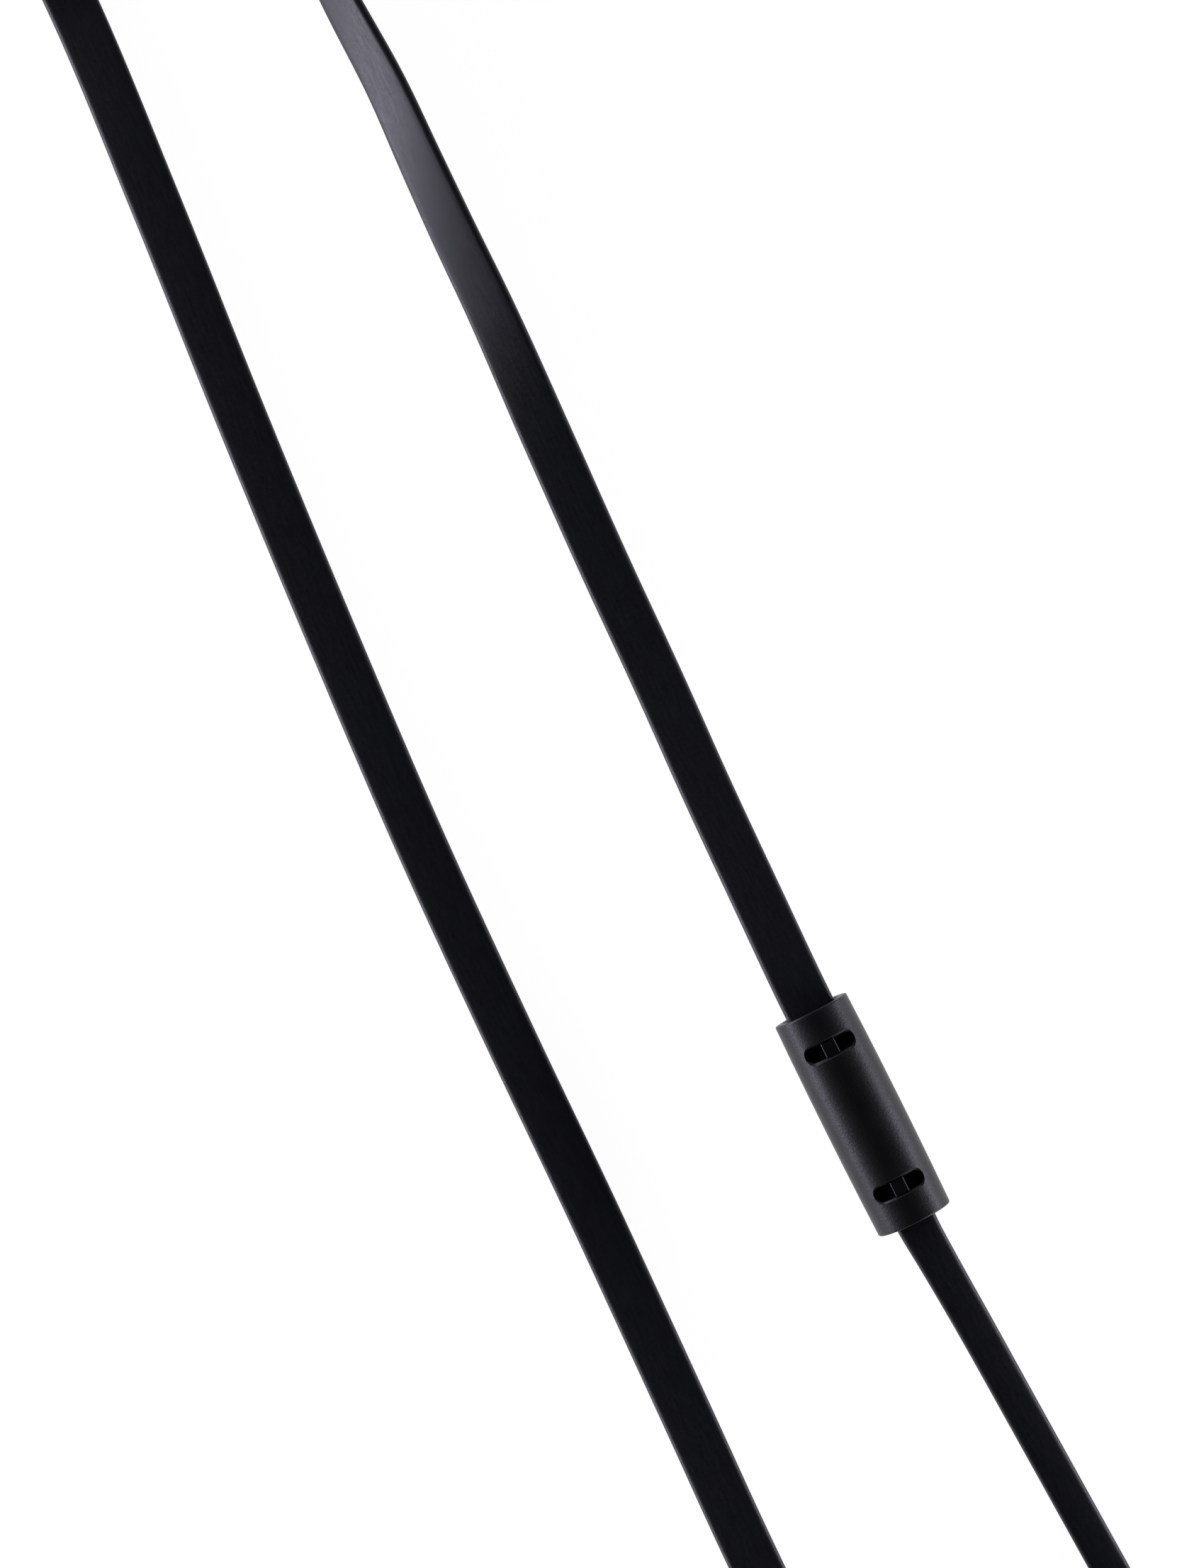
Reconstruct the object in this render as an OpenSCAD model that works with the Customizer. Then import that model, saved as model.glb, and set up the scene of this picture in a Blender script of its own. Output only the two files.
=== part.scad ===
// Flat rubber neck lanyard, laid as a closed loop on a table.
// A wide neck strap and a narrow front strap are joined end to end by two barrel connectors.
// A connector is a slotted sleeve over two plugs. A plug is a pair of riveted jaws that hold the
// end of a strap, and it carries a sprung latch button whose tooth stands in the sleeve's slot.
// Z is up from the table, Y runs along the loop towards the neck, and X runs across it.

/* [Loop] */
// Distance from the loop's middle to its end at the neck, as far as the strap's middle
neck_reach = 180.5; // [170:0.5:230]
// Distance from the loop's middle to its end at the front, as far as the strap's middle
front_reach = 180.5; // [170:0.5:230]

/* [Straps] */
// Width of the neck strap
neck_strap_w = 6; // [5:0.1:7.5]
// Width of the front strap
front_strap_w = 4.3; // [3.5:0.1:5]
// Thickness of both straps
strap_t = 1.35; // [1.1:0.05:1.6]
// How much wider the front strap is where it enters a sleeve
front_flare = 0.6; // [0:0.05:0.7]

/* [Sleeves] */
// Length of a sleeve
sleeve_l = 27; // [26:0.5:34]
// Thickness of a sleeve's wall at its middle
sleeve_wall = 1.2; // [1:0.05:1.6]
// How much a sleeve's outside falls away from its middle to its ends
sleeve_crown = 0.13; // [0.05:0.01:0.2]
// Radius of a sleeve's outer rims
rim_r = 0.2; // [0.1:0.05:0.4]
// Chamfer of a sleeve's inner rims
mouth_chamfer = 0.2; // [0.1:0.05:0.25]
// Thickness of the web between a sleeve's two bores
web_t = 1; // [0.6:0.1:1.4]
// Distance from a sleeve's end to the middle of a slot
slot_inset = 4.6; // [4.2:0.1:5]
// Width of a slot, along the sleeve
slot_w = 1.85; // [1.6:0.05:2.1]
// Angle between the centres of a slot's round ends
slot_angle = 59; // [54:1:64]
// Chamfer of a slot's outer edges
slot_chamfer = 0.25; // [0.1:0.05:0.3]

/* [Plugs] */
// How far a jaw stands past each edge of the neck strap
jaw_margin = 0.43; // [0.35:0.01:0.7]
// Gap between a plug and its bore, all round
running_clear = 0.07; // [0.03:0.01:0.1]
// Gap between a plug and the web
plug_end_gap = 0.2; // [0.1:0.05:0.4]
// Depth of a plug's outer end inside the sleeve's mouth
mouth_recess = 0.6; // [0.4:0.1:1]
// Distance from a plug's inner end to the end of its strap
strap_setback = 0.3; // [0.1:0.05:0.5]

/* [Rivets] */
// Diameter of a rivet's shank
rivet_d = 1.2; // [0.8:0.1:1.4]
// Diameter of a rivet's heads
rivet_head_d = 2; // [1.7:0.1:2.2]
// Height of a rivet's heads
rivet_head_h = 0.5; // [0.3:0.05:0.7]
// Depth of a rivet's heads below the plug's outside
rivet_sink = 0.1; // [0.05:0.05:0.2]
// Distance from a plug's inner end to its inner rivet
rivet_inset = 1.5; // [1.3:0.1:1.8]
// Distance from the middle of a latch to the rivet beside it
latch_to_rivet = 3; // [2.8:0.1:3.3]
// Gap between a rivet and its hole, all round
rivet_clear = 0.03; // [0.02:0.01:0.08]

/* [Latch] */
// Width of a button's tooth, across the sleeve
tooth_w = 1.75; // [1.5:0.05:1.9]
// Gap between the tooth and each side of its slot
tooth_clear = 0.07; // [0.04:0.01:0.15]
// Depth of the tooth's top below the sleeve's outside
tooth_inset = 0.15; // [0.1:0.05:0.3]
// Radius of the tooth's top edges
tooth_edge_r = 0.2; // [0.1:0.05:0.3]
// Width of the flange that keeps a button in, across the sleeve
flange_w = 2.4; // [2.1:0.1:2.6]
// How far the flange stands past each end of the tooth
flange_lip = 0.3; // [0.2:0.05:0.4]
// Thickness of the flange
flange_h = 0.6; // [0.5:0.05:0.7]
// Gap between the flange and the bore above it
flange_gap = 0.15; // [0.1:0.05:0.25]
// Gap between the flange and its pocket, all round
pocket_clear = 0.08; // [0.05:0.01:0.15]
// Thickness of the floor under a spring
pocket_floor_t = 0.4; // [0.35:0.05:0.5]
// Width of the open well around a tooth, across the sleeve
well_w = 4.7; // [4:0.1:5.2]
// Depth of the well below the plug's outside
well_depth = 0.9; // [0.7:0.05:1]
// Width of a spring strip
spring_w = 1.2; // [0.8:0.1:1.8]
// Thickness of a spring strip
spring_t = 0.15; // [0.1:0.01:0.2]
// Gap between a spring and the flange on it
spring_gap = 0.02; // [0.01:0.01:0.05]

/* [Hidden] */
$fn = 96;
cut_extra = 1;

// Round sizes of a connector, from the strap outwards
plug_r = neck_strap_w / 2 + jaw_margin;
bore_r = plug_r + running_clear;
sleeve_r = bore_r + sleeve_wall;
end_r = sleeve_r - sleeve_crown;

// Places along a connector, from its middle towards a mouth
half_l = sleeve_l / 2;
slot_y = half_l - slot_inset;
plug_in = web_t / 2 + plug_end_gap;
plug_out = half_l - mouth_recess;
strap_in = plug_in + strap_setback;
rivet_ys = [plug_in + rivet_inset, slot_y - latch_to_rivet];
crown_l = half_l - rim_r;

// Outside of a sleeve at a distance from its middle, and at the middle of a slot
function outside_r(y) = sleeve_r - sleeve_crown * pow(y / crown_l, 2);
slot_r = outside_r(slot_y);

// Heights in a connector, from its axis
rivet_top = sqrt(plug_r * plug_r - rivet_head_d * rivet_head_d / 4) - rivet_sink;
pocket_floor = strap_t / 2 + pocket_floor_t;
well_floor = plug_r - well_depth;
flange_top = sqrt(bore_r * bore_r - flange_w * flange_w / 4) - flange_gap;
flange_bottom = flange_top - flange_h;
tooth_top = slot_r - tooth_inset;

// Lengths of the latch, along a connector
tooth_l = slot_w - 2 * tooth_clear;
flange_l = tooth_l + 2 * flange_lip;
pocket_l = flange_l + 2 * pocket_clear;
spring_l = flange_l - 2 * pocket_clear;

// Places of the connectors' middles on the table
SIDES = ["right", "left"];
ENDS = ["neck", "front"];
RIGHT_PLACE = [16.5, -27.5];
LEFT_PLACE = [-17.9, -93.5];
function place(side) = side == "right" ? RIGHT_PLACE : LEFT_PLACE;

// Routes of the straps between the connectors, laid out for this reach. A point is x, y, the lift
// off the table, and the twist in degrees, which turns the strap from flat to on its edge at 90.
LAID_REACH = 180.5;
NECK_POINTS = [
    [-17.8, -66, 2.8, 0], [-17.4, -52, 1.2, 0], [-17, -38, 0.2, 0], [-16.6, -24, 0, 0],
    [-16.2, -2, 0, 0], [-15.4, 24, 0, 0], [-13.9, 50, 0, 0], [-12, 77, 0, 0],
    [-9.8, 104, 0, 0], [-8.1, 130, 0, -2], [-8, 142, 0, -18], [-8.6, 152, 0, -36],
    [-9.2, 158.5, 0, -50], [-9.1, 164.3, 0, -62], [-7.9, 170.3, 0, -72], [-4.8, 175.6, 0, -81],
    [0.2, 179.2, 0, -87], [6.2, 180.5, 0, -90], [12.2, 179.2, 0, -90], [17.2, 175.6, 0, -90],
    [20.3, 170.3, 0, -90], [21.5, 164.3, 0, -88], [21.7, 158, 0, -84], [21.4, 149, 0, -77],
    [20.6, 138, 0, -68], [19.9, 125, 0, -57], [20, 115, 0, -49], [20.32, 104, 0, -41],
    [20, 94, 0, -33.7], [19.77, 86, 0, -28.5], [19.62, 76, 0, -22.5], [18.9, 59, 0, -5],
    [18.2, 42, 0, 0], [17.8, 28, 0.2, 0], [17.2, 14, 1.2, 0], [16.8, 0, 2.8, 0]
];
FRONT_POINTS = [
    [16.72, -46, 3.78, 0], [17.19, -54, 2.9, 0], [17.81, -67, 1.3, 0], [18.44, -81, 0.3, 0],
    [19.05, -95, 0, -4], [19.5, -108, 0, -18], [19.7, -122, 0, -38], [19.8, -136, 0, -60],
    [19.7, -147, 0, -77], [19.5, -155, 0, -86], [18.9, -162, 0, -90], [17.3, -168.8, 0, -90],
    [13.4, -175, 0, -90], [7.5, -179.1, 0, -90], [0.5, -180.5, 0, -90], [-6.5, -179.1, 0, -90],
    [-12.4, -175, 0, -90], [-16.3, -168.8, 0, -90], [-17.9, -162, 0, -88], [-18.5, -154, 0, -78],
    [-18.6, -145, 0.1, -62], [-18.4, -136, 0.4, -43], [-18.2, -127, 1.3, -24], [-18, -118, 2.8, -8]
];
// Distances from the loop's middle between which a longer reach draws out the runs
NECK_RUN = [42, 158];
FRONT_RUN = [118, 162];
// How far a strap runs straight out of a sleeve
straight_l = 1;
// Distance out of a sleeve over which the front strap's flare falls to about a third
flare_fade = 6;
// Sides of the round on each edge of a strap
edge_sides = 4;
// Tapers of a sleeve's outside, from its middle to an end
crown_steps = 3;

// The straight part of a route in a connector, from the strap's end out past the sleeve's mouth
function socket_points(side, way) =
    [for (y = [strap_in, plug_out, half_l + straight_l])
        [place(side)[0], place(side)[1] + way * y, sleeve_r - strap_t / 2, 0]];
function reversed(list) = [for (i = [len(list) - 1:-1:0]) list[i]];

// The free part of a route with its runs drawn out to a reach, and its bend moved as it is
function drawn_out(points, way, reach, run) =
    [for (p = points)
        let (share = min(1, max(0, (way * p[1] - run[0]) / (run[1] - run[0]))))
        [p[0], p[1] + way * share * (reach - LAID_REACH), p[2], p[3]]];

neck_route = concat(
    socket_points("left", 1),
    drawn_out(NECK_POINTS, 1, neck_reach, NECK_RUN),
    reversed(socket_points("right", 1)));
front_route = concat(
    socket_points("right", -1),
    drawn_out(FRONT_POINTS, -1, front_reach, FRONT_RUN),
    reversed(socket_points("left", -1)));

// Width of a strap at a point of its route: it spreads towards the jaws that hold it
function width_at(p, w, flare, way) =
    let (end_y = place(p[0] > 0 ? "right" : "left")[1])
    w + flare * exp(-max(0, way * (p[1] - end_y) - half_l) / flare_fade);

// Places of a strap's middle: it rests on its lower edge where its lift is nought
function rested(p, w) =
    [p[0], p[1], strap_t / 2 + (w - strap_t) / 2 * abs(sin(p[3])) + max(0, p[2])];

// Outline of a strap's section, with round edges
function section(w) = [
    for (edge = [0, 1], k = [0:edge_sides])
        let (a = 180 * (edge + k / edge_sides) - 90)
        [(1 - 2 * edge) * (w - strap_t) / 2 + cos(a) * strap_t / 2, sin(a) * strap_t / 2]];

// The way a strap heads at each point of its route, weighted towards the nearer neighbour
function unit(v) = v / norm(v);
function slope(p, i) = (p[i + 1] - p[i]) / norm(p[i + 1] - p[i]);
function gap(p, i) = norm(p[i + 1] - p[i]);
function heading(p, i) =
    i == 0 ? slope(p, 0)
    : i == len(p) - 1 ? slope(p, i - 1)
    : unit(slope(p, i - 1) * gap(p, i) + slope(p, i) * gap(p, i - 1));

// Points of the outline around one place on a strap's route
function ring(at, along, twist, outline) =
    let (side = unit(cross(along, [0, 0, 1])))
    let (up = cross(side, along))
    let (wide = side * cos(twist) + up * sin(twist))
    let (thick = up * cos(twist) - side * sin(twist))
    [for (q = outline) at + wide * q[0] + thick * q[1]];

module swept_strap(route, widths) {
    last = len(route) - 1;
    middles = [for (i = [0:last]) rested(route[i], widths[i])];
    rings = [for (i = [0:last])
        ring(middles[i], heading(middles, i), route[i][3], section(widths[i]))];
    n = len(rings[0]);
    skin = [for (i = [0:last - 1], k = [0:n - 1], half = [0, 1])
        let (a = i * n + k)
        let (b = i * n + (k + 1) % n)
        half == 0 ? [a, b, b + n] : [a, b + n, a + n]];
    caps = [for (k = [1:n - 2], far = [0, 1])
        far == 0 ? [0, k + 1, k] : [last * n, last * n + k, last * n + k + 1]];
    polyhedron(points = [for (r = rings, q = r) q], faces = concat(skin, caps), convexity = 8);
}

// Puts a piece that is drawn on a connector's axis, towards +Y, at one end of a connector
module at_plug(side, end) {
    translate([place(side)[0], place(side)[1], sleeve_r])
        rotate([0, 0, end == "neck" ? 0 : 180])
            children();
}

// A bar along Y on a connector's axis
module bar(r, from, to) {
    translate([0, from, 0])
        rotate([-90, 0, 0])
            cylinder(r = r, h = to - from);
}

module rivet_holes() {
    for (y = rivet_ys) {
        translate([0, y, -sleeve_r])
            cylinder(d = rivet_d + 2 * rivet_clear, h = 2 * sleeve_r);
    }
}

// Room for the rivets' heads in the jaw above the strap
module head_seats() {
    for (y = rivet_ys) {
        translate([0, y, rivet_top - rivet_head_h])
            cylinder(d = rivet_head_d + 2 * rivet_clear, h = sleeve_r);
    }
}

// A strap with the holes for its rivets at both ends
module strap(route, widths, first, last) {
    difference() {
        swept_strap(route, widths);
        at_plug(first[0], first[1]) rivet_holes();
        at_plug(last[0], last[1]) rivet_holes();
    }
}

module neck_strap() {
    widths = [for (p = neck_route) neck_strap_w];
    color("#1c1c1f") strap(neck_route, widths, ["left", "neck"], ["right", "neck"]);
}

module front_strap() {
    widths = [for (p = front_route) width_at(p, front_strap_w, front_flare, -1)];
    color("#1c1c1f") strap(front_route, widths, ["right", "front"], ["left", "front"]);
}

// Half of a sleeve's wall in section, from the web to a mouth
module wall_section() {
    crown = [for (k = [0:crown_steps]) let (y = crown_l * k / crown_steps) [outside_r(y), y]];
    difference() {
        polygon(concat([[0, 0]], crown, [[end_r, half_l], [0, half_l]]));
        translate([0, web_t / 2]) square([bore_r, half_l]);
        translate([end_r - rim_r, crown_l]) square(rim_r + cut_extra);
        polygon([
            [bore_r - mouth_chamfer, half_l + mouth_chamfer],
            [bore_r - mouth_chamfer, half_l - 2 * mouth_chamfer],
            [bore_r + 2 * mouth_chamfer, half_l + mouth_chamfer]
        ]);
    }
    translate([end_r - rim_r, crown_l])
        intersection() {
            circle(rim_r);
            square(rim_r);
        }
}

// Section of a slot across its length: x is the distance from the sleeve's axis
module slot_section() {
    flare = slot_chamfer + cut_extra;
    polygon([
        [bore_r / 2, -slot_w / 2],
        [slot_r - slot_chamfer, -slot_w / 2],
        [slot_r + cut_extra, -slot_w / 2 - flare],
        [slot_r + cut_extra, slot_w / 2 + flare],
        [slot_r - slot_chamfer, slot_w / 2],
        [bore_r / 2, slot_w / 2]
    ]);
}

// A round end of a slot, along its own axis
module slot_end() {
    flare = slot_chamfer + cut_extra;
    translate([0, 0, bore_r / 2]) cylinder(d = slot_w, h = sleeve_r);
    translate([0, 0, slot_r - slot_chamfer])
        cylinder(r1 = slot_w / 2, r2 = slot_w / 2 + flare, h = flare);
}

// A slot through the upper side of a sleeve, with round ends and chamfered outer edges
module slot() {
    translate([0, slot_y, 0]) {
        rotate([90, slot_angle / 2 - 90, 0])
            rotate_extrude(angle = slot_angle) slot_section();
        for (a = [-1, 1] * slot_angle / 2) {
            rotate([0, a, 0]) slot_end();
        }
    }
}

module sleeve(side) {
    color("#3a3840")
        translate([place(side)[0], place(side)[1], sleeve_r])
            difference() {
                for (turn = [-90, 90]) {
                    rotate([turn, 0, 0]) rotate_extrude() wall_section();
                }
                for (turn = [0, 180]) {
                    rotate([0, 0, turn]) slot();
                }
            }
}

// A half-round jaw above the strap, with holes for the rivets
module jaw() {
    difference() {
        intersection() {
            bar(plug_r, plug_in, plug_out);
            translate([-sleeve_r, 0, strap_t / 2]) cube([2 * sleeve_r, half_l, sleeve_r]);
        }
        rivet_holes();
        head_seats();
    }
}

// The upper jaw has a pocket for the button's flange and spring, and an open well above it
module upper_jaw() {
    color("#222226")
        difference() {
            jaw();
            translate([-flange_w / 2 - pocket_clear, slot_y - pocket_l / 2, pocket_floor])
                cube([flange_w + 2 * pocket_clear, pocket_l, sleeve_r]);
            translate([-well_w / 2, slot_y - pocket_l / 2, well_floor])
                cube([well_w, pocket_l, sleeve_r]);
        }
}

module lower_jaw() {
    color("#222226") mirror([0, 0, 1]) jaw();
}

module rivets() {
    color("silver")
        for (y = rivet_ys) {
            translate([0, y, -rivet_top]) {
                cylinder(d = rivet_d, h = 2 * rivet_top);
                cylinder(d = rivet_head_d, h = rivet_head_h);
                translate([0, 0, 2 * rivet_top - rivet_head_h])
                    cylinder(d = rivet_head_d, h = rivet_head_h);
            }
        }
}

// Outline of a tooth across the sleeve, with round top edges
module tooth_section() {
    side_x = tooth_w / 2 - tooth_edge_r;
    translate([-tooth_w / 2, flange_bottom]) square([tooth_w, tooth_top - tooth_edge_r - flange_bottom]);
    translate([-side_x, flange_bottom]) square([2 * side_x, tooth_top - flange_bottom]);
    for (x = [-side_x, side_x]) {
        translate([x, tooth_top - tooth_edge_r]) circle(tooth_edge_r);
    }
}

module button() {
    color("#2a2a2e") {
        translate([0, slot_y + tooth_l / 2, 0])
            rotate([90, 0, 0])
                linear_extrude(tooth_l) tooth_section();
        translate([-flange_w / 2, slot_y - flange_l / 2, flange_bottom])
            cube([flange_w, flange_l, flange_h]);
    }
}

// A bowed strip that stands on the pocket's floor and reaches up to the flange
module spring() {
    rise = flange_bottom - spring_gap - pocket_floor;
    bow_r = (spring_l * spring_l / 4 + rise * rise) / (2 * rise);
    color("silver")
        translate([0, slot_y, pocket_floor])
            intersection() {
                translate([-spring_w / 2, 0, rise - bow_r])
                    rotate([0, 90, 0])
                        difference() {
                            cylinder(r = bow_r, h = spring_w);
                            translate([0, 0, -cut_extra])
                                cylinder(r = bow_r - spring_t, h = spring_w + 2 * cut_extra);
                        }
                translate([-spring_w, -bow_r, 0]) cube([2 * spring_w, 2 * bow_r, rise]);
            }
}

neck_strap();
front_strap();
for (side = SIDES) {
    sleeve(side);
}
for (side = SIDES, end = ENDS) {
    plug = str(side, "_", end);
    at_plug(side, end) upper_jaw();
    at_plug(side, end) lower_jaw();
    at_plug(side, end) rivets();
    at_plug(side, end) button();
    at_plug(side, end) spring();
}
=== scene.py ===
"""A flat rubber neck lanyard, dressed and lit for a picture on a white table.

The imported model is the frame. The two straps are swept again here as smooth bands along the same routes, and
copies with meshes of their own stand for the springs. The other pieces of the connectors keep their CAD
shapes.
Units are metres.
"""

import math

import bmesh
import bpy
from mathutils import Matrix, Vector


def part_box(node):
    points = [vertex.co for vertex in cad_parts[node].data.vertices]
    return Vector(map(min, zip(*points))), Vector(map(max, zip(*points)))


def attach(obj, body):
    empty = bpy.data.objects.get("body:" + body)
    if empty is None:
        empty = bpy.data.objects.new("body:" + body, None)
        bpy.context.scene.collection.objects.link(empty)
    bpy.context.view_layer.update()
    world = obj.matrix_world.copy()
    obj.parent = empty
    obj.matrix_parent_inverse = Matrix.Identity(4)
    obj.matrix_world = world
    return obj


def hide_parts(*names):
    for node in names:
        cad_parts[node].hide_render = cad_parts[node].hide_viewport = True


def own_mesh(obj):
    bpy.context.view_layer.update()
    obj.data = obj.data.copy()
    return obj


# Sections of the straps, with the front strap's flare at the jaws and the crown of the faces
STRAP_T = 0.00135
NECK_W = 0.006
FRONT_W = 0.0043
FRONT_FLARE = 0.0006
FLARE_FADE = 0.006
FACE_CROWN = 0.00007

# Steps of the straps' meshes: along the route in metres, and the number round an edge and over a face
RING_STEP = 0.00125
EDGE_STEPS = 8
FACE_STEPS = 8

# The strap's end from a connector's middle, the plug's depth in the mouth, and the straight run outside it
STRAP_IN = 0.001
MOUTH_RECESS = 0.0006
STRAIGHT = 0.001

# Holes for the rivets in the straps: their radius and the number of steps round them
HOLE_R = 0.00063
HOLE_STEPS = 32

# Routes of the straps: x, y, lift off the table, and twist in degrees
NECK_POINTS = [
    (-0.0178, -0.066, 0.0028, 0), (-0.0174, -0.052, 0.0012, 0), (-0.017, -0.038, 0.0002, 0),
    (-0.0166, -0.024, 0, 0), (-0.0162, -0.002, 0, 0), (-0.0154, 0.024, 0, 0),
    (-0.0139, 0.05, 0, 0), (-0.012, 0.077, 0, 0), (-0.0098, 0.104, 0, 0),
    (-0.0081, 0.13, 0, -2), (-0.008, 0.142, 0, -18), (-0.0086, 0.152, 0, -36),
    (-0.0092, 0.1585, 0, -50), (-0.0091, 0.1643, 0, -62), (-0.0079, 0.1703, 0, -72),
    (-0.0048, 0.1756, 0, -81), (0.0002, 0.1792, 0, -87), (0.0062, 0.1805, 0, -90),
    (0.0122, 0.1792, 0, -90), (0.0172, 0.1756, 0, -90), (0.0203, 0.1703, 0, -90),
    (0.0215, 0.1643, 0, -88), (0.0217, 0.158, 0, -84), (0.0214, 0.149, 0, -77),
    (0.0206, 0.138, 0, -68), (0.0199, 0.125, 0, -57), (0.02, 0.115, 0, -49),
    (0.02032, 0.104, 0, -41), (0.02, 0.094, 0, -33.7), (0.01977, 0.086, 0, -28.5),
    (0.01962, 0.076, 0, -22.5), (0.0189, 0.059, 0, -5), (0.0182, 0.042, 0, 0),
    (0.0178, 0.028, 0.0002, 0), (0.0172, 0.014, 0.0012, 0), (0.0168, 0, 0.0028, 0),
]
FRONT_POINTS = [
    (0.01672, -0.046, 0.00378, 0), (0.01719, -0.054, 0.0029, 0), (0.01781, -0.067, 0.0013, 0),
    (0.01844, -0.081, 0.0003, 0), (0.01905, -0.095, 0, -4), (0.0195, -0.108, 0, -18),
    (0.0197, -0.122, 0, -38), (0.0198, -0.136, 0, -60), (0.0197, -0.147, 0, -77),
    (0.0195, -0.155, 0, -86), (0.0189, -0.162, 0, -90), (0.0173, -0.1688, 0, -90),
    (0.0134, -0.175, 0, -90), (0.0075, -0.1791, 0, -90), (0.0005, -0.1805, 0, -90),
    (-0.0065, -0.1791, 0, -90), (-0.0124, -0.175, 0, -90), (-0.0163, -0.1688, 0, -90),
    (-0.0179, -0.162, 0, -88), (-0.0185, -0.154, 0, -78), (-0.0186, -0.145, 0.0001, -62),
    (-0.0184, -0.136, 0.0004, -43), (-0.0182, -0.127, 0.0013, -24), (-0.018, -0.118, 0.0028, -8),
]

# The picture: its height in pixels, its scale on the straps, and the camera straight above the table
IMAGE_H = 2212
PIXELS_PER_METRE = 12100
CAMERA_PLACE = Vector((0.00518, 0.02086, 0.52))
CAMERA_ROLL = math.radians(-26.5)

# Sheen of the black rubber and plastic: its tint and its strength
COOL_SHEEN = (0.84, 0.81, 1, 1)
RUBBER_SHEEN = 0.57
PLASTIC_SHEEN = 0.42

# Rubber: colours, roughness, and cells to the metre of streaks, along and across, of clouds and of skin
RUBBER_DARK = (0.0026, 0.0036, 0.0057)
RUBBER_LIGHT = (0.0048, 0.0065, 0.0098)
RUBBER_ROUGH = (0.41, 0.53)
STREAK_CELLS = (350, 3000, 1)
CLOUD_CELLS = 90
SKIN_CELLS = 2200

# The table: its width, and its drop below the part
FLOOR_SIZE = 20
FLOOR_DROP = 0.00002


def new_object(name, data):
    """A new object in the scene."""
    thing = bpy.data.objects.new(name, data)
    bpy.context.scene.collection.objects.link(thing)
    return thing


def new_mesh_object(name, mesh):
    """A new object in the scene that takes a finished mesh."""
    data = bpy.data.meshes.new(name)
    mesh.to_mesh(data)
    mesh.free()
    return new_object(name, data)


def node_maker(tree):
    """A maker of nodes in a tree, which sets what they are given and links the sockets in their inputs."""

    def add(kind, inputs=None, **settings):
        node = tree.nodes.new(kind)
        for key, value in settings.items():
            setattr(node, key, value)
        for key, value in (inputs or {}).items():
            if isinstance(value, bpy.types.NodeSocket):
                tree.links.new(value, node.inputs[key])
            else:
                node.inputs[key].default_value = value
        return node

    return add


def new_material(name):
    """A material with its shader, a maker of its nodes and a maker of its links."""
    material = bpy.data.materials.new(name)
    material.use_nodes = True
    tree = material.node_tree
    return material, tree.nodes["Principled BSDF"], node_maker(tree), tree.links.new


def noise(add, place, scale, detail, roughness=0.5):
    """The value of a noise at a place."""
    inputs = {"Vector": place, "Scale": scale, "Detail": detail, "Roughness": roughness}
    return add("ShaderNodeTexNoise", inputs).outputs["Fac"]


def ramp_between(add, factor, low, high, dark, light):
    """Colours from dark to light, as the factor goes from low to high."""
    node = add("ShaderNodeValToRGB", {"Fac": factor})
    first, last = node.color_ramp.elements
    first.position = low
    first.color = (*dark, 1)
    last.position = high
    last.color = (*light, 1)
    return node.outputs["Color"]


def rubber():
    """Matte black rubber with faint streaks along the strap and a fine skin."""
    material, shader, add, link = new_material("strap_rubber")
    place = add("ShaderNodeUVMap", uv_map="along").outputs["UV"]
    stretched = add("ShaderNodeMapping", {"Vector": place, "Scale": STREAK_CELLS}).outputs["Vector"]
    streaks = noise(add, stretched, scale=1, detail=5, roughness=0.6)
    clouds = noise(add, place, scale=CLOUD_CELLS, detail=3)
    skin = noise(add, place, scale=SKIN_CELLS, detail=4, roughness=0.7)
    mixed = add("ShaderNodeMath", {0: streaks, 1: clouds}, operation="MULTIPLY").outputs[0]
    colour = ramp_between(add, mixed, low=0.1, high=0.45, dark=RUBBER_DARK, light=RUBBER_LIGHT)
    link(colour, shader.inputs["Base Color"])
    shader.inputs["Specular IOR Level"].default_value = RUBBER_SHEEN
    shader.inputs["Specular Tint"].default_value = COOL_SHEEN
    wear = add("ShaderNodeMath", {0: streaks, 1: skin}, operation="ADD").outputs[0]
    rough = add("ShaderNodeMapRange", {"Value": wear, "From Min": 0.75, "From Max": 1.25,
                                       "To Min": RUBBER_ROUGH[0], "To Max": RUBBER_ROUGH[1]})
    link(rough.outputs["Result"], shader.inputs["Roughness"])
    lines = add("ShaderNodeBump", {"Height": streaks, "Strength": 0.05, "Distance": 0.00004})
    grain = add("ShaderNodeBump", {"Height": skin, "Strength": 0.1, "Distance": 0.00001,
                                   "Normal": lines.outputs["Normal"]})
    link(grain.outputs["Normal"], shader.inputs["Normal"])
    return material


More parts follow.
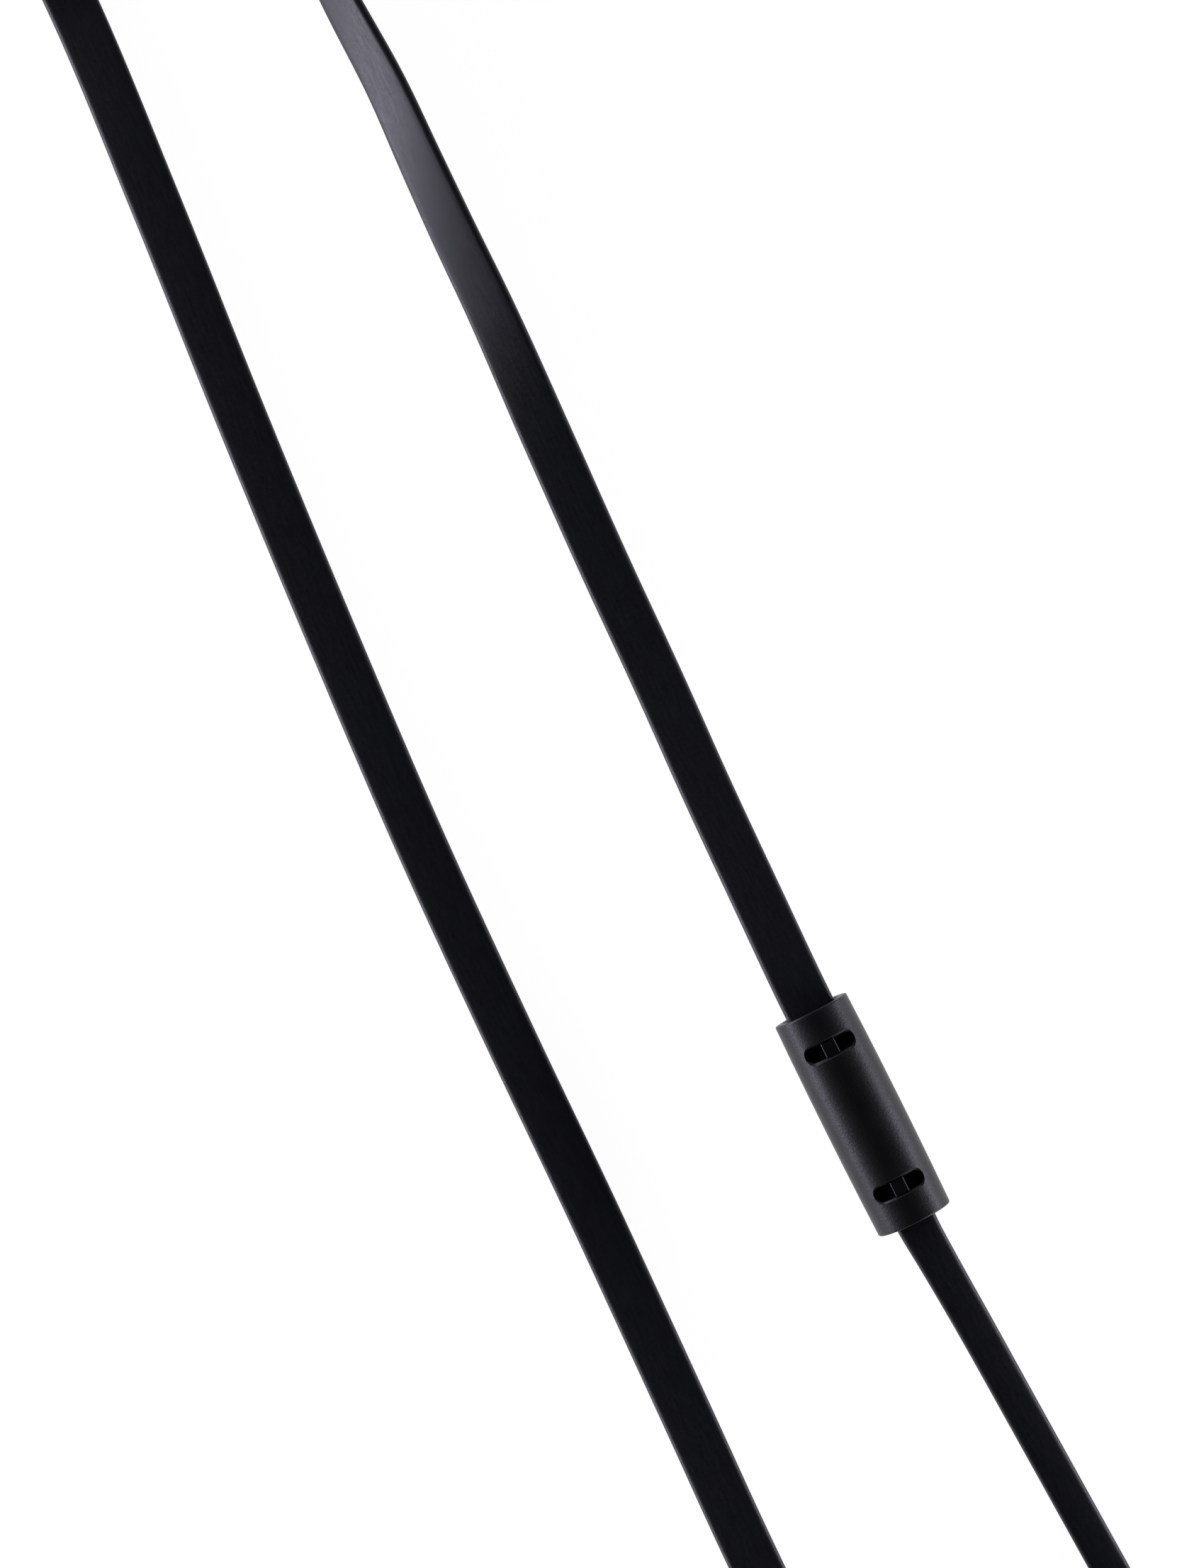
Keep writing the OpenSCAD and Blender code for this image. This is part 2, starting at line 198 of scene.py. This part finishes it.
def grained_plastic(name, dark, light, grain, depth, low_rough, high_rough):
    """Moulded plastic with a fine spark-eroded grain, of the given grain size and depth."""
    material, shader, add, link = new_material(name)
    shader.inputs["Specular IOR Level"].default_value = PLASTIC_SHEEN
    shader.inputs["Specular Tint"].default_value = COOL_SHEEN
    place = add("ShaderNodeTexCoord").outputs["Object"]
    fine = noise(add, place, scale=1 / grain, detail=3, roughness=0.6)
    broad = noise(add, place, scale=0.1 / grain, detail=2)
    mixed = add("ShaderNodeMath", {0: fine, 1: broad}, operation="MULTIPLY").outputs[0]
    link(ramp_between(add, mixed, low=0.12, high=0.4, dark=dark, light=light), shader.inputs["Base Color"])
    rough = add("ShaderNodeMapRange", {"Value": fine, "From Min": 0.3, "From Max": 0.7,
                                       "To Min": high_rough, "To Max": low_rough})
    link(rough.outputs["Result"], shader.inputs["Roughness"])
    bump = add("ShaderNodeBump", {"Height": fine, "Strength": 0.5, "Distance": depth})
    link(bump.outputs["Normal"], shader.inputs["Normal"])
    return material


def drawn_steel(name, dark, light, grain):
    """Plain steel with fine drawing marks along Y, of the given width."""
    material, shader, add, link = new_material(name)
    place = add("ShaderNodeTexCoord").outputs["Object"]
    stretched = add("ShaderNodeMapping", {"Vector": place, "Scale": (1 / grain, 0.05 / grain, 1 / grain)})
    marks = noise(add, stretched.outputs["Vector"], scale=1, detail=4)
    link(ramp_between(add, marks, low=0.3, high=0.7, dark=dark, light=light), shader.inputs["Base Color"])
    rough = add("ShaderNodeMapRange", {"Value": marks, "To Min": 0.25, "To Max": 0.45})
    link(rough.outputs["Result"], shader.inputs["Roughness"])
    shader.inputs["Metallic"].default_value = 1
    return material


def socket_points(sleeve, way):
    """The straight part of a route in a connector, from the strap's end out past the sleeve's mouth."""
    low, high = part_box(sleeve)
    middle = (low + high) / 2
    half_l = (high.y - low.y) / 2
    lift = middle.z - STRAP_T / 2
    return [(middle.x, middle.y + way * y, lift, 0)
            for y in (STRAP_IN, half_l - MOUTH_RECESS, half_l + STRAIGHT)]


def smooth_route(points):
    """The route's points on one smooth curve, about RING_STEP apart."""
    points = [Vector(p) for p in points]
    gaps = [(b - a).xyz.length for a, b in zip(points, points[1:])]
    slopes = [(b - a) / gap for a, b, gap in zip(points, points[1:], gaps)]
    tangents = [slopes[0]]
    for i in range(1, len(slopes)):
        near, far = gaps[i - 1], gaps[i]
        tangents.append((slopes[i - 1] * far + slopes[i] * near) / (near + far))
    tangents.append(slopes[-1])
    curve = []
    for i, gap in enumerate(gaps):
        steps = max(1, round(gap / RING_STEP))
        for k in range(steps):
            t = k / steps
            start = points[i] * ((1 + 2 * t) * (1 - t) ** 2)
            end = points[i + 1] * (t * t * (3 - 2 * t))
            leaving = tangents[i] * (gap * t * (1 - t) ** 2)
            arriving = tangents[i + 1] * (gap * t * t * (1 - t))
            curve.append(start + end + leaving - arriving)
    return curve + [points[-1]]


def band_outline(width):
    """Outline of a strap's section, as pairs across and through the strap: round edges, crowned faces."""
    edge_r = STRAP_T / 2 - FACE_CROWN
    reach = width / 2 - edge_r
    outline = []
    for side in (1, -1):
        for k in range(EDGE_STEPS + 1):
            a = math.pi * (k / EDGE_STEPS - 0.5)
            outline.append((side * (reach + math.cos(a) * edge_r), side * math.sin(a) * edge_r))
        for k in range(1, FACE_STEPS):
            x = 1 - 2 * k / FACE_STEPS
            outline.append((side * reach * x, side * (edge_r + FACE_CROWN * (1 - x * x))))
    return outline


def width_at(station, width, flare, way):
    """A strap's width at a place on its route: it spreads by the flare towards the jaws that hold it."""
    low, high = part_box("right_sleeve" if station[0] > 0 else "left_sleeve")
    out = max(0, station[1] - high.y if way > 0 else low.y - station[1])
    return width + flare * math.exp(-out / FLARE_FADE)


def strap_middle(station, width):
    """Middle of a strap's section at a station. It rests on its lower edge where its lift is nought."""
    x, y, lift, twist = station
    rise = (width - STRAP_T) / 2 * abs(math.sin(math.radians(twist)))
    return Vector((x, y, STRAP_T / 2 + rise + max(0, lift)))


def section_axes(along, twist):
    """Directions across and through a strap that runs in the direction along, with a twist in degrees."""
    side = along.cross(Vector((0, 0, 1))).normalized()
    up = side.cross(along)
    turn = math.radians(twist)
    wide = side * math.cos(turn) + up * math.sin(turn)
    thick = up * math.cos(turn) - side * math.sin(turn)
    return wide, thick


def wrap_rings(mesh, uv, rings, lengths, around):
    """Smooth faces between a sweep's rings, mapped by the lengths along and around it, and flat ends."""
    count = len(rings[0])
    for i in range(len(rings) - 1):
        for k in range(count):
            after = (k + 1) % count
            face = mesh.faces.new((rings[i][k], rings[i][after], rings[i + 1][after], rings[i + 1][k]))
            face.smooth = True
            corners = ((i, k), (i, k + 1), (i + 1, k + 1), (i + 1, k))
            for loop, (row, column) in zip(face.loops, corners):
                loop[uv].uv = (lengths[row], around[column])
    for ring in (rings[0], rings[-1]):
        cap = mesh.faces.new(ring)
        for edge in cap.edges:
            edge.smooth = False
    bmesh.ops.recalc_face_normals(mesh, faces=mesh.faces)


def make_band(name, route, width, flare, way, material):
    """A strap swept along its route, with its middle line and its length."""
    stations = smooth_route(route)
    widths = [width_at(s, width, flare, way) for s in stations]
    middles = [strap_middle(s, w) for s, w in zip(stations, widths)]
    lengths = [0]
    for a, b in zip(middles, middles[1:]):
        lengths.append(lengths[-1] + (b - a).length)
    outline = band_outline(width)
    around = [0]
    for a, b in zip(outline, outline[1:] + outline[:1]):
        around.append(around[-1] + math.dist(a, b))
    mesh = bmesh.new()
    uv = mesh.loops.layers.uv.new("along")
    rings = []
    for i, middle in enumerate(middles):
        along = (middles[min(i + 1, len(middles) - 1)] - middles[max(i - 1, 0)]).normalized()
        wide, thick = section_axes(along, stations[i][3])
        rings.append([mesh.verts.new(middle + wide * x + thick * y) for x, y in band_outline(widths[i])])
    wrap_rings(mesh, uv, rings, lengths, around)
    band = new_mesh_object(name, mesh)
    band.data.materials.append(material)
    return band, middles, lengths[-1]


def pierce(band, plugs):
    """Cuts the holes for the rivets of its plugs through a strap."""
    holes = bmesh.new()
    for plug in plugs:
        low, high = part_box(plug + "_rivets")
        middle = (low + high) / 2
        head_r = (high.x - low.x) / 2
        for y in (low.y + head_r, high.y - head_r):
            bmesh.ops.create_cone(holes, cap_ends=True, segments=HOLE_STEPS, radius1=HOLE_R, radius2=HOLE_R,
                                  depth=high.z - low.z, matrix=Matrix.Translation((middle.x, y, middle.z)))
    cutter = new_mesh_object("rivet_holes", holes)
    cut = band.modifiers.new("rivet_holes", "BOOLEAN")
    cut.solver = "EXACT"
    cut.object = cutter
    pierced = bpy.data.meshes.new_from_object(band.evaluated_get(bpy.context.evaluated_depsgraph_get()))
    band.modifiers.clear()
    band.data = pierced
    bpy.data.objects.remove(cutter)


def make_camera():
    """A camera straight above the table, turned as the photograph is."""
    lens = bpy.data.cameras.new("camera")
    lens.angle = 2 * math.atan(IMAGE_H / PIXELS_PER_METRE / 2 / (CAMERA_PLACE.z - STRAP_T / 2))
    camera = new_object("camera", lens)
    camera.location = CAMERA_PLACE
    camera.rotation_euler = (0, 0, CAMERA_ROLL)
    bpy.context.scene.camera = camera


def make_light(name, azimuth, elevation, distance, width, height, radiance):
    """A soft light of even radiance that faces the part. Azimuth 0 is the picture's right, 90 its top."""
    heading = CAMERA_ROLL + math.radians(azimuth)
    rise = math.radians(elevation)
    level = math.cos(rise)
    towards = Vector((math.cos(heading) * level, math.sin(heading) * level, math.sin(rise)))
    lamp = bpy.data.lights.new(name, "AREA")
    lamp.shape = "RECTANGLE"
    lamp.size = width
    lamp.size_y = height
    lamp.energy = radiance * math.pi * width * height
    light = new_object(name, lamp)
    light.location = Vector((CAMERA_PLACE.x, CAMERA_PLACE.y, 0)) + towards * distance
    light.rotation_mode = "QUATERNION"
    light.rotation_quaternion = towards.to_track_quat("Z", "Y")
    light.visible_camera = False


def make_world(horizon, zenith, top):
    """A studio that is pale near the horizon and dark overhead, from the height top up."""
    world = bpy.data.worlds.new("studio")
    world.use_nodes = True
    bpy.context.scene.world = world
    tree = world.node_tree
    add = node_maker(tree)
    place = add("ShaderNodeTexCoord").outputs["Generated"]
    rise = add("ShaderNodeSeparateXYZ", {"Vector": place}).outputs["Z"]
    fade = add("ShaderNodeMapRange", {"Value": rise, "From Max": top, "To Min": horizon, "To Max": zenith},
               interpolation_type="SMOOTHSTEP")
    background = tree.nodes["Background"]
    background.inputs["Color"].default_value = (1, 1, 1, 1)
    tree.links.new(fade.outputs["Result"], background.inputs["Strength"])


def floor_white(albedo, glow, shadow_albedo):
    """White that glows, with a faint shadow, where it is seen or mirrored, and is plain paint otherwise."""
    material, shader, add, link = new_material("floor_white")
    nodes = material.node_tree.nodes
    nodes.remove(shader)
    path = add("ShaderNodeLightPath")
    lit = add("ShaderNodeBsdfDiffuse", {"Color": (albedo, albedo, albedo, 1)})
    seen = add("ShaderNodeBsdfDiffuse", {"Color": (shadow_albedo, shadow_albedo, shadow_albedo, 1)})
    white = add("ShaderNodeEmission", {"Strength": glow})
    both = add("ShaderNodeAddShader", {0: seen.outputs[0], 1: white.outputs[0]})
    looks = path.outputs["Is Camera Ray"]
    for ray in ("Is Glossy Ray", "Is Transmission Ray"):
        looks = add("ShaderNodeMath", {0: looks, 1: path.outputs[ray]}, operation="MAXIMUM").outputs[0]
    choice = add("ShaderNodeMixShader", {"Fac": looks, 1: lit.outputs[0], 2: both.outputs[0]})
    link(choice.outputs[0], nodes["Material Output"].inputs["Surface"])
    return material


def make_floor(albedo, glow, shadow_albedo):
    """A plain white table under the part."""
    half = FLOOR_SIZE / 2
    data = bpy.data.meshes.new("floor")
    corners = [(-half, -half), (half, -half), (half, half), (-half, half)]
    data.from_pydata([(x, y, -FLOOR_DROP) for x, y in corners], [], [(0, 1, 2, 3)])
    data.materials.append(floor_white(albedo, glow, shadow_albedo))
    floor = new_object("floor", data)


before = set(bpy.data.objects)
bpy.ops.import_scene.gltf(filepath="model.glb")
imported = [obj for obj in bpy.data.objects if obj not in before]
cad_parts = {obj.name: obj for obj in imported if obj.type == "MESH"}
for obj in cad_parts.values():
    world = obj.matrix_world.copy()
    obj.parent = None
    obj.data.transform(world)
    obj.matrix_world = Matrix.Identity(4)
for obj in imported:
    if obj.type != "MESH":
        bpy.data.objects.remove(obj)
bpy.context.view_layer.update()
bpy.context.scene.view_settings.view_transform = "Standard"

make_camera()
make_light("left_light", azimuth=180, elevation=7.5, distance=0.9, width=1.3, height=0.25, radiance=11)
make_light("left_high_light", azimuth=180, elevation=30, distance=0.9, width=1.3, height=0.35, radiance=0.4)
make_light("right_light", azimuth=-10, elevation=8, distance=0.35, width=0.4, height=0.1, radiance=7.2)
make_light("far_light", azimuth=90, elevation=40, distance=1.2, width=0.8, height=0.5, radiance=0.9)
make_world(horizon=0.4, zenith=0.01, top=0.5)
make_floor(albedo=0.8, glow=0.96, shadow_albedo=0.2)

# The straps, as smooth bands in the place of their faceted solids. Each band has its name, the strap that it
# stands for, its width, its flare, the way along Y that it leaves its sleeves, its plugs and its route
strap_rubber = rubber()
bands = [
    ("neck_band", "neck_strap", NECK_W, 0, 1, ("left_neck", "right_neck"),
     socket_points("left_sleeve", 1) + NECK_POINTS + socket_points("right_sleeve", 1)[::-1]),
    ("front_band", "front_strap", FRONT_W, FRONT_FLARE, -1, ("right_front", "left_front"),
     socket_points("right_sleeve", -1) + FRONT_POINTS + socket_points("left_sleeve", -1)[::-1]),
]
for band_name, strap, width, flare, way, plugs, route in bands:
    band, path, length = make_band(band_name, route, width, flare, way, strap_rubber)
    pierce(band, plugs)
    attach(band, "straps")
    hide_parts(strap)

# The finishes of the connectors' pieces, by the last word of their names
finishes = {
    "sleeve": grained_plastic("sleeve_plastic", dark=(0.0035, 0.0038, 0.005), light=(0.0085, 0.009, 0.0112),
                              grain=0.00035, depth=0.00005, low_rough=0.38, high_rough=0.46),
    "jaw": grained_plastic("jaw_plastic", dark=(0.003, 0.003, 0.0035), light=(0.006, 0.006, 0.007),
                           grain=0.0003, depth=0.00002, low_rough=0.45, high_rough=0.6),
    "button": grained_plastic("button_plastic", dark=(0.0025, 0.0025, 0.003), light=(0.006, 0.006, 0.0072),
                              grain=0.0003, depth=0.00003, low_rough=0.3, high_rough=0.42),
    "rivets": drawn_steel("rivet_steel", dark=(0.45, 0.45, 0.46), light=(0.6, 0.6, 0.61), grain=0.0001),
    "spring": drawn_steel("spring_steel", dark=(0.36, 0.36, 0.38), light=(0.5, 0.5, 0.52), grain=0.00008),
}
for node_name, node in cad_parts.items():
    kind = node_name.split("_")[-1]
    if kind in finishes:
        node.material_slots[0].material = finishes[kind]

# The springs flatten under their buttons, so copies that can change shape stand for them
for spring in [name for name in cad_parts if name.endswith("_spring")]:
    plug = spring.removesuffix("_spring")
    leaf = new_object(plug + "_leaf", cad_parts[spring].data.copy())
    leaf.data.materials.clear()
    leaf.data.materials.append(finishes["spring"])
    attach(leaf, "straps")
    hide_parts(spring)
    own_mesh(leaf)
